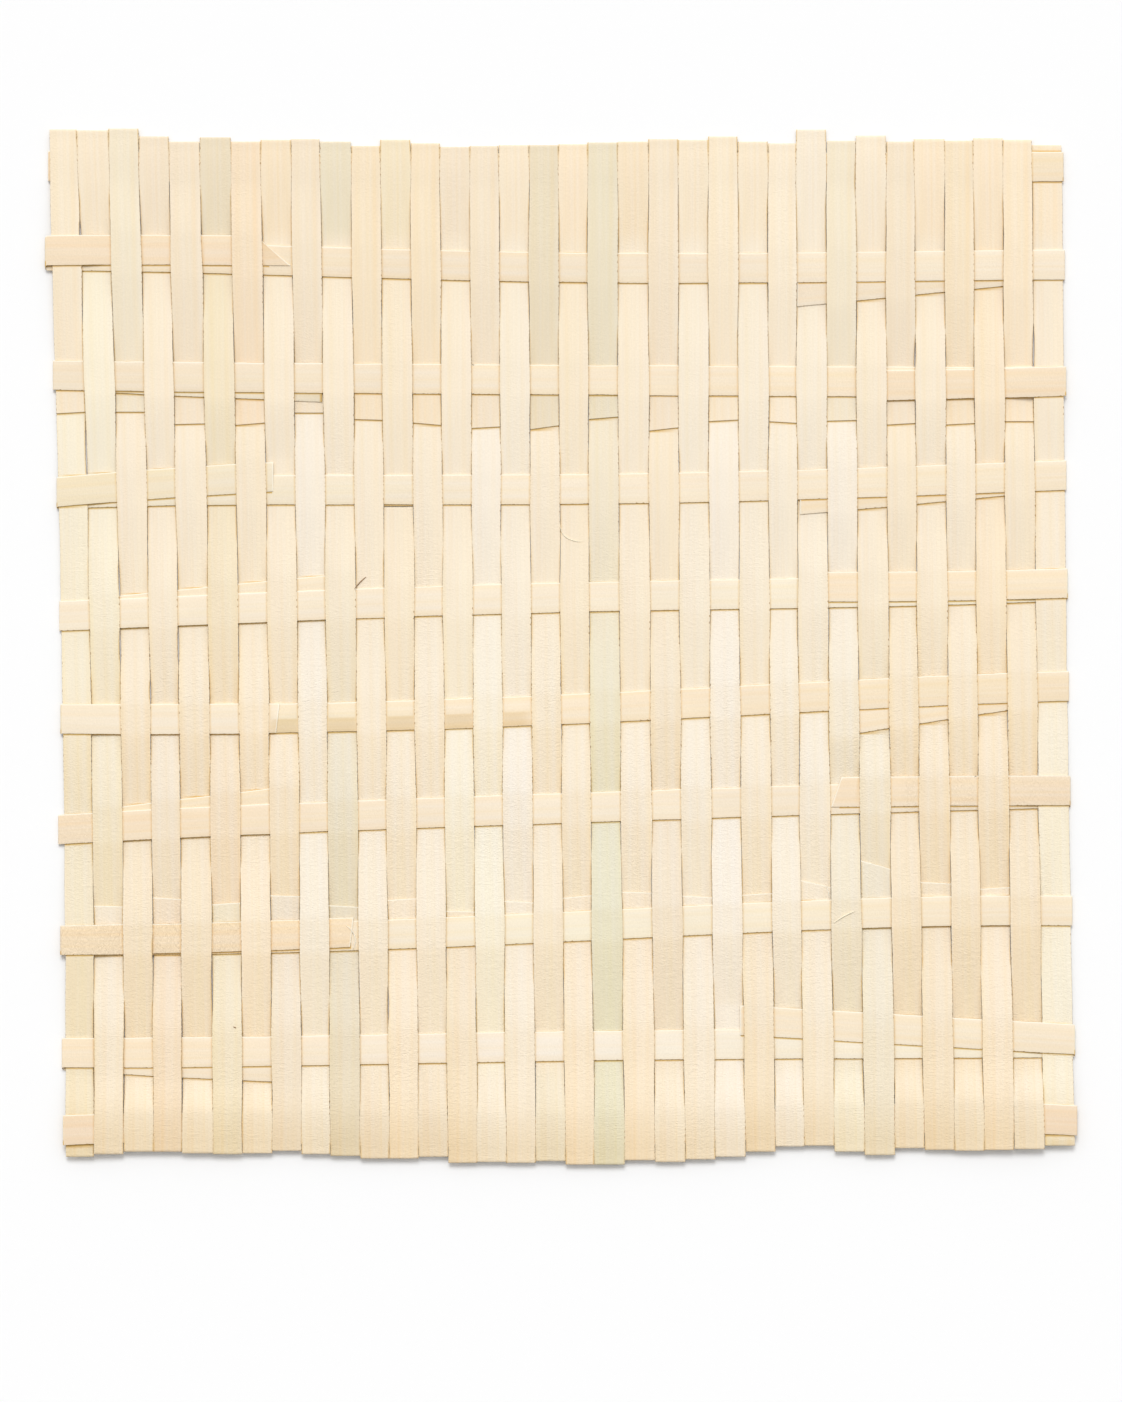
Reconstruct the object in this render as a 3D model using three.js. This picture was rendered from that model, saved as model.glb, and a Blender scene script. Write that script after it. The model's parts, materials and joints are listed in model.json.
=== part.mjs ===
// A square rug of dried palm leaf, woven by hand from flat strips about 17 mm wide.
// Thirty-four strips lie side by side along the rug, and ten cross them about 65 mm apart, over one and under
// the next. Nothing is sewn: both ends of every strip are folded back round the outermost crossing strip and
// tucked into the weave, half of them on the face and half on the underside.
// Millimetres: X runs along the crossing strips, Y along the others, Z is up, and the rug lies on Z = 0.
import * as THREE from 'three';

const LEAF = 1.0; // thickness of a strip
const AIR = 0.3; // between two strips that lie on each other
const LAYER = LEAF + AIR;
const SLIT = 0.6; // between two neighbours side by side
const CROSS_WIDTH = 17.2;
const FLAT_MARGIN = 1.0; // a strip stays level this far past the edge of the one that it crosses
const TUCK_MARGIN = 0.8; // a folded end starts its way down this far past the strip that it wraps
const HIDDEN_TAIL = 14; // a tail on the underside runs this far past the third crossing
const TAIL_CROSSINGS = 3;
const FOLD_STEPS = 4;
const LIFT_REACH = 3; // strips on either side that a pile lifts a crossing strip over
const SECTION_SPACING = 4; // long strips from one section of a straight crossing strip to the next
const STRAIGHT_BEND = 0.05; // the lift of a straight crossing strip bends less than this, in layers

// The side edges of the rug and the bow of the strips between them, at three heights
const EDGE_HEIGHTS = [253, -69, -292];
const LEFT_EDGE = [-296.0, -288.4, -287.0];
const RIGHT_EDGE = [290.5, 294.1, 297.7];
const BOW = [1.8, -2.0, -2.3];

// One row for each strip that runs along the rug, from the left: its folds at the top and the bottom, the cut
// end of its tail on the face, how far that cut slants, how far its right edge strays from an even share,
// and its tint. The last strip has both tails on the underside.
const ALONG_COLUMNS = ['top', 'bottom', 'cut', 'slant', 'stray', 'tint'];
const ALONG_ROWS = [
  [300.0, -296.0, 135.5, -1.0, -0.5, 'cream'],
  [299.5, -294.5, -150.5, 0.5, -0.2, 'cream'],
  [300.5, -293.0, 136.0, 0.0, -0.1, 'straw'],
  [296.0, -293.0, -146.0, 1.0, -0.4, 'pinkish'],
  [293.0, -294.0, 129.0, -0.5, 0.3, 'straw'],
  [295.5, -294.5, -149.0, -1.0, 0.5, 'green'],
  [293.0, -294.0, 129.0, -1.5, 0.6, 'peach'],
  [294.0, -292.5, -144.5, 0.5, 0.6, 'peach'],
  [294.5, -294.5, 135.5, 0.0, 0.3, 'cream'],
  [293.0, -295.5, -150.5, 1.0, 0.6, 'green'],
  [290.5, -297.0, 131.5, 0.5, 0.3, 'peach'],
  [294.0, -297.0, -146.5, -1.0, 0.3, 'cream'],
  [292.0, -296.0, 129.0, 1.5, 0.0, 'straw'],
  [290.0, -299.5, -153.5, 0.5, 0.0, 'pinkish'],
  [290.5, -299.0, 127.0, -1.0, -0.4, 'cream'],
  [291.0, -299.5, -148.0, 1.0, -0.4, 'pinkish'],
  [291.0, -298.5, 127.0, -2.5, -0.5, 'green'],
  [291.5, -300.5, -145.0, -1.5, -0.9, 'peach'],
  [292.5, -300.5, 132.5, -1.5, -0.6, 'green'],
  [293.0, -298.0, -142.5, 0.5, -0.1, 'peach'],
  [294.5, -299.0, 126.0, -2.0, 0.0, 'pinkish'],
  [294.0, -297.5, -145.0, 1.0, 0.2, 'cream'],
  [296.0, -296.0, 131.0, -1.0, 0.3, 'cream'],
  [293.0, -293.0, -143.5, -1.0, 0.5, 'pinkish'],
  [292.0, -290.0, 130.0, 1.0, -0.2, 'cream'],
  [300.0, -289.5, -137.5, 4.0, 0.1, 'pinkish'],
  [293.5, -293.0, 131.0, -0.5, 0.1, 'green'],
  [296.5, -295.0, -126.5, 5.0, 0.4, 'straw'],
  [293.0, -291.0, 129.0, -1.0, -0.1, 'green'],
  [294.5, -292.0, -137.0, 1.0, 0.2, 'cream'],
  [293.5, -292.5, 129.0, -1.0, -0.3, 'peach'],
  [295.0, -292.0, -140.0, -1.0, -0.1, 'peach'],
  [294.0, -291.5, 130.5, 0.0, -0.2, 'straw'],
  [291.0, -289.5, -250.0, 0.0, 0.0, 'straw'],
];

// One row for each crossing strip, from the top: the height of its middle line at five places from the left
// side to the right, then for the left end and the right end how far the fold stands past the outermost
// strip, where the tail is cut, how far that cut slants, and how far the tail has drifted off the strip at
// its fold and at its cut.
const CROSS_COLUMNS = ['name', 'middle', 'left', 'right', 'tint'];
const TAIL_COLUMNS = ['past', 'cut', 'slant', 'drift', 'cutDrift'];
const CROSS_ROWS = [
  ['A', [278.4, 277.5, 277.2, 277.5, 278.1], [0.5, -284, 0, 0, 0], [0, 179, 0, 0, 0], 'peach'],
  ['B', [226.5, 223.3, 219.8, 219.7, 221.3], [2.4, -164.7, -8, 2.9, 5.4], [0, 136.9, 0, -0.6, -13.9], 'pinkish'],
  ['C', [157.2, 155.6, 154.6, 153.7, 153.7], [0, -138.6, 0, 0, -5.2], [0, 182.1, 0, 0, -2.3], 'peach'],
  ['D', [88.4, 90.9, 91.2, 94, 99.2], [0, -166.8, 0, 1.2, 7.5], [0, 138.6, 0, 0, -8.7], 'pinkish'],
  ['E', [17.7, 23.8, 28.4, 31, 35.1], [0, -119.5, 0, 0, 9.3], [0, 147.3, 0, 1.5, 3.5], 'cream'],
  ['F', [-42, -41.2, -36.5, -29.3, -23], [0.3, -164.1, 2, 0, 0], [0, 170.5, 0, -0.6, -13.9], 'straw'],
  ['G', [-106.1, -99, -93.8, -89, -85], [2.5, -163, 0, 0, 9.3], [0, 161.2, 3, 1.5, 4.1], 'peach'],
  ['H', [-170.5, -168.4, -162.6, -155.8, -153.1], [1.5, -121.2, 2, 0, 1.2], [0, 185, 0, 0, 0], 'cream'],
  ['I', [-235.4, -234.2, -231.7, -230.3, -229.4], [1, -165.9, 0, -1.7, -9.3], [0.3, 103.8, 0, 1.7, 13.9], 'cream'],
  ['J', [-280.4, -279.9, -281, -275.8, -274.1], [0.6, -186, 0, 0, 0], [0.3, 284, 0, 0, 0], 'peach'],
];
const MIDDLE_REACH = 290; // the five places lie evenly between -290 and 290

const TINTS = {
  cream: 0xf0e0c0,
  straw: 0xeedcac,
  peach: 0xecd0a8,
  pinkish: 0xe6cfb4,
  green: 0xdcdab4,
};
const LEAF_ROUGHNESS = 0.72;

const table = (columns, rows) => rows.map(
  (row) => Object.fromEntries(row.map((value, k) => [columns[k], value])),
);
const ALONG = table(ALONG_COLUMNS, ALONG_ROWS);
const CROSS = table(CROSS_COLUMNS, CROSS_ROWS);
const TAILS = {
  left: table(TAIL_COLUMNS, CROSS.map((strip) => strip.left)),
  right: table(TAIL_COLUMNS, CROSS.map((strip) => strip.right)),
};
const tailOf = (row, side) => (side < 0 ? TAILS.left : TAILS.right)[row];
const LAST_ALONG = ALONG.length - 1;
const LAST_CROSS = CROSS.length - 1;

// The smooth curve through values that stand at the given places.
function smooth(places, values, at) {
  let sum = 0;
  for (let k = 0; k < places.length; k += 1) {
    let share = values[k];
    for (let j = 0; j < places.length; j += 1) {
      if (j !== k) share *= (at - places[j]) / (places[k] - places[j]);
    }
    sum += share;
  }
  return sum;
}

// X of the line between two neighbours along the rug, at height y. Line 0 is the left side of the rug.
function lineX(line, y) {
  const left = smooth(EDGE_HEIGHTS, LEFT_EDGE, y);
  const right = smooth(EDGE_HEIGHTS, RIGHT_EDGE, y);
  const share = line / ALONG.length;
  const stray = line > 0 ? ALONG[line - 1].stray : 0;
  return left + (right - left) * share + smooth(EDGE_HEIGHTS, BOW, y) * Math.sin(Math.PI * share) + stray;
}

const leftSide = (column, y) => lineX(column, y) + (column > 0 ? SLIT / 2 : 0);
const rightSide = (column, y) => lineX(column + 1, y) - (column < LAST_ALONG ? SLIT / 2 : 0);

const MIDDLE_PLACES = CROSS[0].middle.map(
  (_, k, all) => MIDDLE_REACH * ((2 * k) / (all.length - 1) - 1),
);
const middleY = (row, x) => smooth(MIDDLE_PLACES, CROSS[row].middle, x);

// Which way the ends fold. An end folds towards the face where its strip lies under the outermost one.
const leftFront = (row) => row % 2 === 1;
const rightFront = (row) => row % 2 === 0;
const topFront = (column) => column % 2 === 0;
const bottomFront = (column) => column % 2 === 1 && column !== LAST_ALONG;

// The outermost strip's side that an end of a crossing strip folds round, and the fold's own place.
function foldX(row, side) {
  const middle = middleY(row, side * MIDDLE_REACH);
  const heights = [middle - CROSS_WIDTH / 2, middle, middle + CROSS_WIDTH / 2];
  if (side < 0) return Math.min(...heights.map((y) => leftSide(0, y))) - tailOf(row, side).past;
  return Math.max(...heights.map((y) => rightSide(LAST_ALONG, y))) + tailOf(row, side).past;
}

// How far a tail of a crossing strip has drifted off it at x.
function driftAt(row, side, x) {
  const { cut, drift, cutDrift } = tailOf(row, side);
  return THREE.MathUtils.mapLinear(x, foldX(row, side), cut, drift, cutDrift);
}

// The side whose tail lies at a column of a crossing strip: -1, 1, or 0 for none.
function tailSide(row, column) {
  const y = middleY(row, lineX(column, 0));
  if (leftSide(column, y) < tailOf(row, -1).cut) return -1;
  if (rightSide(column, y) > tailOf(row, 1).cut) return 1;
  return 0;
}

// Heights between which a crossing strip and its tail lie at a column.
function band(row, column) {
  const heights = [];
  const y = middleY(row, lineX(column, 0));
  for (const x of [leftSide(column, y), rightSide(column, y)]) {
    const middle = middleY(row, x);
    heights.push(middle);
    const side = tailSide(row, column);
    if (side !== 0) heights.push(middle + driftAt(row, side, x));
  }
  return [Math.min(...heights) - CROSS_WIDTH / 2, Math.max(...heights) + CROSS_WIDTH / 2];
}

const alongTail = (row, column) => {
  if (row < TAIL_CROSSINGS) return { front: topFront(column), wraps: row === 0 };
  const crossings = column === LAST_ALONG ? 1 : TAIL_CROSSINGS;
  if (row <= LAST_CROSS - crossings) return null;
  return { front: bottomFront(column), wraps: row === LAST_CROSS && column !== LAST_ALONG };
};

const crossTail = (row, column) => {
  const side = tailSide(row, column);
  if (side === 0) return null;
  const front = side < 0 ? leftFront(row) : rightFront(row);
  return { front, wraps: side < 0 ? column === 0 : column === LAST_ALONG };
};

// What lies at one crossing, lowest first.
function pileAt(row, column) {
  const strands = { along: alongTail(row, column), cross: crossTail(row, column) };
  const pile = row % 2 === column % 2 ? ['along', 'cross'] : ['cross', 'along'];
  for (const [name, tail] of Object.entries(strands)) {
    if (!tail || tail.wraps) continue;
    pile.splice(pile.indexOf(name) + (tail.front ? 1 : 0), 0, `${name}Tail`);
  }
  for (const [name, tail] of Object.entries(strands)) {
    if (!tail || !tail.wraps) continue;
    if (tail.front) pile.push(`${name}Tail`);
    else pile.unshift(`${name}Tail`);
  }
  return pile;
}

// Height of a layer at a crossing, counted in layers from the crossing strip itself. Beside the outermost
// strip a tail that wraps the crossing goes over the crossing strip's tail, which is still on its way down.
function levelAt(row, column, layer, line = column) {
  const pile = pileAt(row, column);
  const level = pile.indexOf(layer) - pile.indexOf('cross');
  if (layer !== 'alongTail' || !alongTail(row, column).wraps || !crossTail(row, column)) return level;
  const beside = column === 1 && line === 1 ? 0 : LAST_ALONG;
  if (beside === LAST_ALONG && !(column === LAST_ALONG - 1 && line === LAST_ALONG)) return level;
  return level + levelAt(row, beside, 'crossTail') - levelAt(row, column, 'crossTail');
}

// Each crossing strip is lifted, smoothly along its length, by as many layers as lie under it.
const LIFT = CROSS.map((_, row) => {
  const under = ALONG.map((__, column) => pileAt(row, column).indexOf('cross'));
  const near = (line, reach, pick) => {
    const found = [];
    for (let k = line - reach; k < line + reach; k += 1) {
      if (k >= 0 && k <= LAST_ALONG) found.push(pick(k));
    }
    return found;
  };
  const most = (line) => Math.max(...near(line, LIFT_REACH, (k) => under[k]));
  return Array.from({ length: ALONG.length + 1 }, (__, line) => {
    const lines = [line - 1, line, line + 1].filter((k) => k >= 0 && k <= ALONG.length);
    return lines.reduce((sum, k) => sum + most(k), 0) / lines.length;
  });
});

const heightAt = (row, line, level) => (LIFT[row][line] + level) * LAYER + LEAF / 2;

// A strip: a flat band swept through sections, each with its left and right edge, from one cut end to the
// other.
function stripGeometry(sections) {
  const middles = sections.map(({ left, right }) => left.clone().add(right).multiplyScalar(0.5));
  const vertices = [];
  sections.forEach(({ left, right }, k) => {
    const before = middles[k].clone().sub(middles[Math.max(k - 1, 0)]).normalize();
    const after = middles[Math.min(k + 1, middles.length - 1)].clone().sub(middles[k]).normalize();
    const half = right.clone().sub(left).cross(before.add(after)).setLength(LEAF / 2);
    vertices.push(left.clone().add(half), right.clone().add(half));
    vertices.push(right.clone().sub(half), left.clone().sub(half));
  });
  const corners = 4;
  const last = (sections.length - 1) * corners;
  const faces = [0, 3, 2, 0, 2, 1, last, last + 1, last + 2, last, last + 2, last + 3];
  for (let start = 0; start < last; start += corners) {
    for (let k = 0; k < corners; k += 1) {
      const a = start + k;
      const b = start + ((k + 1) % corners);
      faces.push(a, b, b + corners, a, b + corners, a + corners);
    }
  }
  const geometry = new THREE.BufferGeometry();
  const places = vertices.flatMap((v) => v.toArray());
  geometry.setAttribute('position', new THREE.Float32BufferAttribute(places, 3));
  geometry.setIndex(faces);
  geometry.computeVertexNormals();
  return geometry;
}

// A fold's half circle, from the height of the strip to that of its tail. Each step is a distance past the
// fold's own place and a height.
function foldSteps(from, to) {
  const radius = (to - from) / 2;
  return Array.from({ length: FOLD_STEPS - 1 }, (_, k) => {
    const turn = (Math.PI * (k + 1)) / FOLD_STEPS;
    return [Math.abs(radius) * Math.sin(turn), from + radius * (1 - Math.cos(turn))];
  });
}

function alongSections(column) {
  const strip = ALONG[column];
  const section = (y, heights, slant = 0) => {
    const leftY = y + slant / 2;
    const rightY = y - slant / 2;
    return {
      left: new THREE.Vector3(leftSide(column, leftY), leftY, heights[0]),
      right: new THREE.Vector3(rightSide(column, rightY), rightY, heights[1]),
    };
  };
  const heights = (row, layer) => [column, column + 1].map(
    (line) => heightAt(row, line, levelAt(row, column, layer, line)),
  );
  const level = (row) => {
    const [low, high] = band(row, column);
    return [low - FLAT_MARGIN, high + FLAT_MARGIN];
  };

  // The strip itself, from the bottom crossing to the top one.
  const body = [];
  for (let row = LAST_CROSS; row >= 0; row -= 1) {
    const [low, high] = level(row);
    if (row < LAST_CROSS) body.push(section(low, heights(row, 'along')));
    if (row > 0) body.push(section(high, heights(row, 'along')));
  }

  // One folded end with its tail, from the fold to the cut.
  const end = (edgeY, edgeRow, towards, crossings, cutY) => {
    const from = heights(edgeRow, 'along');
    const to = heights(edgeRow, 'alongTail');
    const reach = Math.max(Math.abs(to[0] - from[0]), Math.abs(to[1] - from[1])) / 2 + LEAF / 2;
    const foldY = edgeY - towards * reach;
    const made = [section(foldY, from)];
    const leftSteps = foldSteps(from[0], to[0]);
    const rightSteps = foldSteps(from[1], to[1]);
    leftSteps.forEach(([past, z], k) => {
      made.push(section(foldY + towards * past, [z, rightSteps[k][1]]));
    });
    made.push(section(foldY, to));
    for (let k = 0; k < crossings; k += 1) {
      const row = edgeRow + towards * k;
      const [near, far] = towards > 0 ? level(row).reverse() : level(row);
      if (k > 0) made.push(section(near, heights(row, 'alongTail')));
      made.push(section(far, heights(row, 'alongTail')));
    }
    const lastRow = edgeRow + towards * (crossings - 1);
    const nextRow = lastRow + towards;
    const start = level(lastRow)[towards > 0 ? 0 : 1];
    const stop = level(nextRow)[towards > 0 ? 1 : 0];
    const cut = cutY ?? start - towards * (HIDDEN_TAIL - FLAT_MARGIN);
    const here = heights(lastRow, 'along');
    const there = heights(nextRow, 'along');
    const offset = heights(lastRow, 'alongTail')[0] - here[0];
    const lie = here.map((z, k) => THREE.MathUtils.mapLinear(cut, start, stop, z, there[k]) + offset);
    made.push(section(cut, lie, strip.slant));
    return made;
  };

  const lastStrip = column === LAST_ALONG;
  const topCut = topFront(column) ? strip.cut : null;
  const bottomCut = bottomFront(column) || lastStrip ? strip.cut : null;
  const top = end(strip.top, 0, 1, TAIL_CROSSINGS, topCut);
  const bottom = end(strip.bottom, LAST_CROSS, -1, lastStrip ? 1 : TAIL_CROSSINGS, bottomCut);
  return [...bottom.reverse(), ...body, ...top];
}

function crossSections(row) {
  const section = (x, z, drift = 0, slant = 0) => {
    const middle = middleY(row, x) + drift;
    return {
      left: new THREE.Vector3(x + slant / 2, middle + CROSS_WIDTH / 2, z),
      right: new THREE.Vector3(x - slant / 2, middle - CROSS_WIDTH / 2, z),
    };
  };
  const onLine = (line) => lineX(line, middleY(row, lineX(line, 0)));

  const body = [];
  for (let line = 2; line <= ALONG.length - 2; line += 1) {
    const bend = LIFT[row][line - 1] + LIFT[row][line + 1] - 2 * LIFT[row][line];
    if (line % SECTION_SPACING === 1 || Math.abs(bend) > STRAIGHT_BEND) {
      body.push(section(onLine(line), heightAt(row, line, 0)));
    }
  }

  // One folded end with its tail, from the fold to the cut. side is -1 at the left and 1 at the right.
  const end = (side, front) => {
    const { cut, slant } = tailOf(row, side);
    const edgeLine = side < 0 ? 0 : ALONG.length;
    const edgeColumn = side < 0 ? 0 : LAST_ALONG;
    const fold = foldX(row, side);
    const from = heightAt(row, edgeLine, 0);
    const to = heightAt(row, edgeLine, levelAt(row, edgeColumn, 'crossTail'));
    const tail = (x, z, cutSlant = 0) => section(x, z, driftAt(row, side, x), cutSlant);
    const made = [section(fold, from)];
    const wanted = driftAt(row, side, fold);
    foldSteps(from, to).forEach(([past, z], k) => {
      made.push(section(fold + side * past, z, (wanted * (k + 1)) / FOLD_STEPS));
    });
    made.push(tail(fold, to));
    const clear = onLine(edgeLine - side) - side * TUCK_MARGIN;
    if (side * (clear - cut) < 0) {
      made.push(tail(cut, to, slant));
      return made;
    }
    made.push(tail(clear, to));
    const level = front ? 1 : -1;
    const tuckLine = edgeLine - 2 * side;
    for (let line = tuckLine; side * (onLine(line) - cut) > 0; line -= side) {
      const tucked = line === tuckLine;
      const x = onLine(line) + (tucked ? side * TUCK_MARGIN : 0);
      const bend = LIFT[row][line - 1] + LIFT[row][line + 1] - 2 * LIFT[row][line];
      if (tucked || line % SECTION_SPACING === 1 || Math.abs(bend) > STRAIGHT_BEND) {
        made.push(tail(x, heightAt(row, line, level)));
      }
    }
    let line = tuckLine;
    while (side * (onLine(line) - cut) > 0) line -= side;
    const share = (cut - onLine(line)) / (onLine(line + side) - onLine(line));
    const z = THREE.MathUtils.lerp(heightAt(row, line, level), heightAt(row, line + side, level), share);
    made.push(tail(cut, z, slant));
    return made;
  };

  const left = end(-1, leftFront(row));
  const right = end(1, rightFront(row));
  return [...left.reverse(), ...body, ...right];
}

function leafMaterial(tint) {
  return new THREE.MeshStandardMaterial({ color: TINTS[tint], roughness: LEAF_ROUGHNESS, metalness: 0 });
}

const rug = new THREE.Group();

ALONG.forEach((strip, column) => {
  const mesh = new THREE.Mesh(stripGeometry(alongSections(column)), leafMaterial(strip.tint));
  mesh.name = `long_strip_${String(column + 1).padStart(2, '0')}`;
  rug.add(mesh);
});

CROSS.forEach((strip, row) => {
  const mesh = new THREE.Mesh(stripGeometry(crossSections(row)), leafMaterial(strip.tint));
  mesh.name = `cross_strip_${strip.name}`;
  rug.add(mesh);
});

export default rug;
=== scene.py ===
import json
import math

import bmesh
import bpy
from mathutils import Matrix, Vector, noise
from mathutils.bvhtree import BVHTree

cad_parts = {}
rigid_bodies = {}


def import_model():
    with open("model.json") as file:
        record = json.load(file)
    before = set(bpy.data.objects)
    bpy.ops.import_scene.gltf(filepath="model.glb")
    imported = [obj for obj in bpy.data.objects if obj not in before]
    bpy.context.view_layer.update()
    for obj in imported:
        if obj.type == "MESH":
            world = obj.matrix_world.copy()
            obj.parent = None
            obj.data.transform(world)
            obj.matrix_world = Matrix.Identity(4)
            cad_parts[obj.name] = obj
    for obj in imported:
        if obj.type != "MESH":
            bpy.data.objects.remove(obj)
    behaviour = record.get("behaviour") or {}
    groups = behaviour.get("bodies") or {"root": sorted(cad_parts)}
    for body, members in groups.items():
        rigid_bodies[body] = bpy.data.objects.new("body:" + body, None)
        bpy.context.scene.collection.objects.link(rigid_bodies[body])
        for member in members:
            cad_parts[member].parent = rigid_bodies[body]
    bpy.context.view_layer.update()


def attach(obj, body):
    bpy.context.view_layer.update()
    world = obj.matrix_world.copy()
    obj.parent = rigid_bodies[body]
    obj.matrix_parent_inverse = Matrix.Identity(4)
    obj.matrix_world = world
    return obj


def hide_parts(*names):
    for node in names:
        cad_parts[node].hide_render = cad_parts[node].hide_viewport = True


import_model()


# Lengthwise strips
# Thirty-four strips of dried palm leaf lie side by side along the rug. Each was split by hand to about
# 17 mm, passes over one crossing strip and under the next, and has both ends folded back round the
# outermost crossing strip and tucked into the weave. Nothing is sewn.
MM = 0.001
FAR = 99  # no cut end, cover or lap is near

# Layers of leaf, and how they lie.
LEAF = 0.48  # thickness, near the real half millimetre, where the solids are stiffer and 1 mm thick
LAYER = 0.7  # from the middle of one layer to the next
HALF_SOLID = 0.5
AIR = 0.1
EDGE_LIFT = 4.3  # the bottom edge stands a little off the floor, in layers
LIFT_REACH = 3  # a crossing strip is lifted together with as many long strips on either side
BEND = 0.35  # 0 is straight from crossing to crossing, 1 is a soft wave
CROWN = 0.16
DROOP = 0.7  # how far a folded end has sunk at its fold
DROOP_REACH = 16

# Sides of the long strips.
SOLID_SLIT = 0.6  # between the solids, which place the crossings
LEAN = 1.0  # the first strip leans in at its top, from a height on
LEAN_FROM = 225
SPREAD = 0.2  # a strip on top spreads over its neighbour
SPREAD_REACH = 15
WANDER = 0.4  # neighbours wander together
FRAY = 0.12  # each side is ragged by itself
SLIT = 0.13
SLIT_VARIES = 0.55
LEAST_SLIT = 0.05
# Waves of unevenness: how far apart the strips read the noise, the length in mm, and the noise's layer.
WANDER_WAVE = (7.3, 40, 0)
FRAY_WAVE = (3.7, 4, 9)
SLIT_WAVE = (3.1, 30, 5)

# Crossings, folds and tails.
CROSS_WIDTH = 17.2
HALF_CROSS = CROSS_WIDTH / 2
FLAT_MARGIN = 1.0  # how far past a crossing strip's edges a long strip stays level
TAIL_CROSSINGS = 3  # a tail runs back as far as the third crossing strip
HIDDEN_TAIL = 14
SLANT_REACH = 14  # a slant cut shows over this length
FOLD_ROOM = 1.5  # left between a fold and the crossing strip in it
LEAST_FOLD = 1.8
MOST_FOLD = 5
FOLD_STEPS = 10
FOLD_SQUARE = 0.62  # 1 is a half round, less is flatter on the face and steeper at the fold
STEP = 2.3
CUT_STEPS = (0.3, 1.6)  # the first places from a cut end
UNDER_RIM = 0.4  # places just outside a cover, on its shaded and its lit side
OVER_RIM = 0.1
RIM_MARGIN = 2

# Shades where leaf lies on leaf, in mm or as a share.
CONTACT_REACH = 1.3  # the warm shade beside a strip that lies on top
LIT_SIDE = 20  # towards the light that shade is as many times narrower
SIDE_SHADE = 0.7  # along a side that lies below its neighbour, in patches
SIDE_MEAN = 0.5
SIDE_MOST = 0.85
SIDE_PATCH = (9, 25, 6)  # across and along in mm, and the noise's layer
LAP_REACH = 1.2  # below a layer that laps this one lengthwise
SLIT_SHADE_SIDE = 0.3  # sides that stand apart are painted browner, as shade in the open slit
PARTED_SHADE = 1.5  # for each mm that neighbours part
CREASE_SHADE = 0.2  # on the far side of a lengthwise crease

# Where the tints change along a long strip.
FIRST_FROM = 228
HIGH_FROM = 110
LOW_TO = -150
LAST_FROM = -238
TINT_REACH = 16
FOLD_SHADE_TINT = (0.954, 0.908, 0.825)  # painted shade: the bottom folds and the leaf near them are darker and more ochre
FOLD_SHADE_REACH = 38
# painted light and shade on slopes: paler by these shares where a slope faces the light, darker where it
# faces away
PALER_SHARES = (0.012, 0.03, 0.065)
SLOPE_LIGHT_FROM = 90  # below this height it grows
SLOPE_LIGHT_GROWS = 160
SLOPE_LIGHT_TO = -240
TAIL_PALER = 1.2  # the bottom tails on the face are paler from a height on
TAIL_PALER_FROM = -230
UNLIT_CUT = 1  # added to the distance from a cut end that gets no painted highlight, such as one facing away from the light
PALER_FADE = 20
RISE_REACH = 3
RISE = 0.2  # a slope that counts in full, in layers over twice that reach

# The rug's left and right edge at three heights, and how far the lines between bow to the right.
EDGE_HEIGHTS = (253, -69, -292)
LEFT_EDGE = (-296.0, -288.4, -287.0)
RIGHT_EDGE = (290.5, 294.1, 297.7)
BOW = (1.8, -2.0, -2.3)

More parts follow.
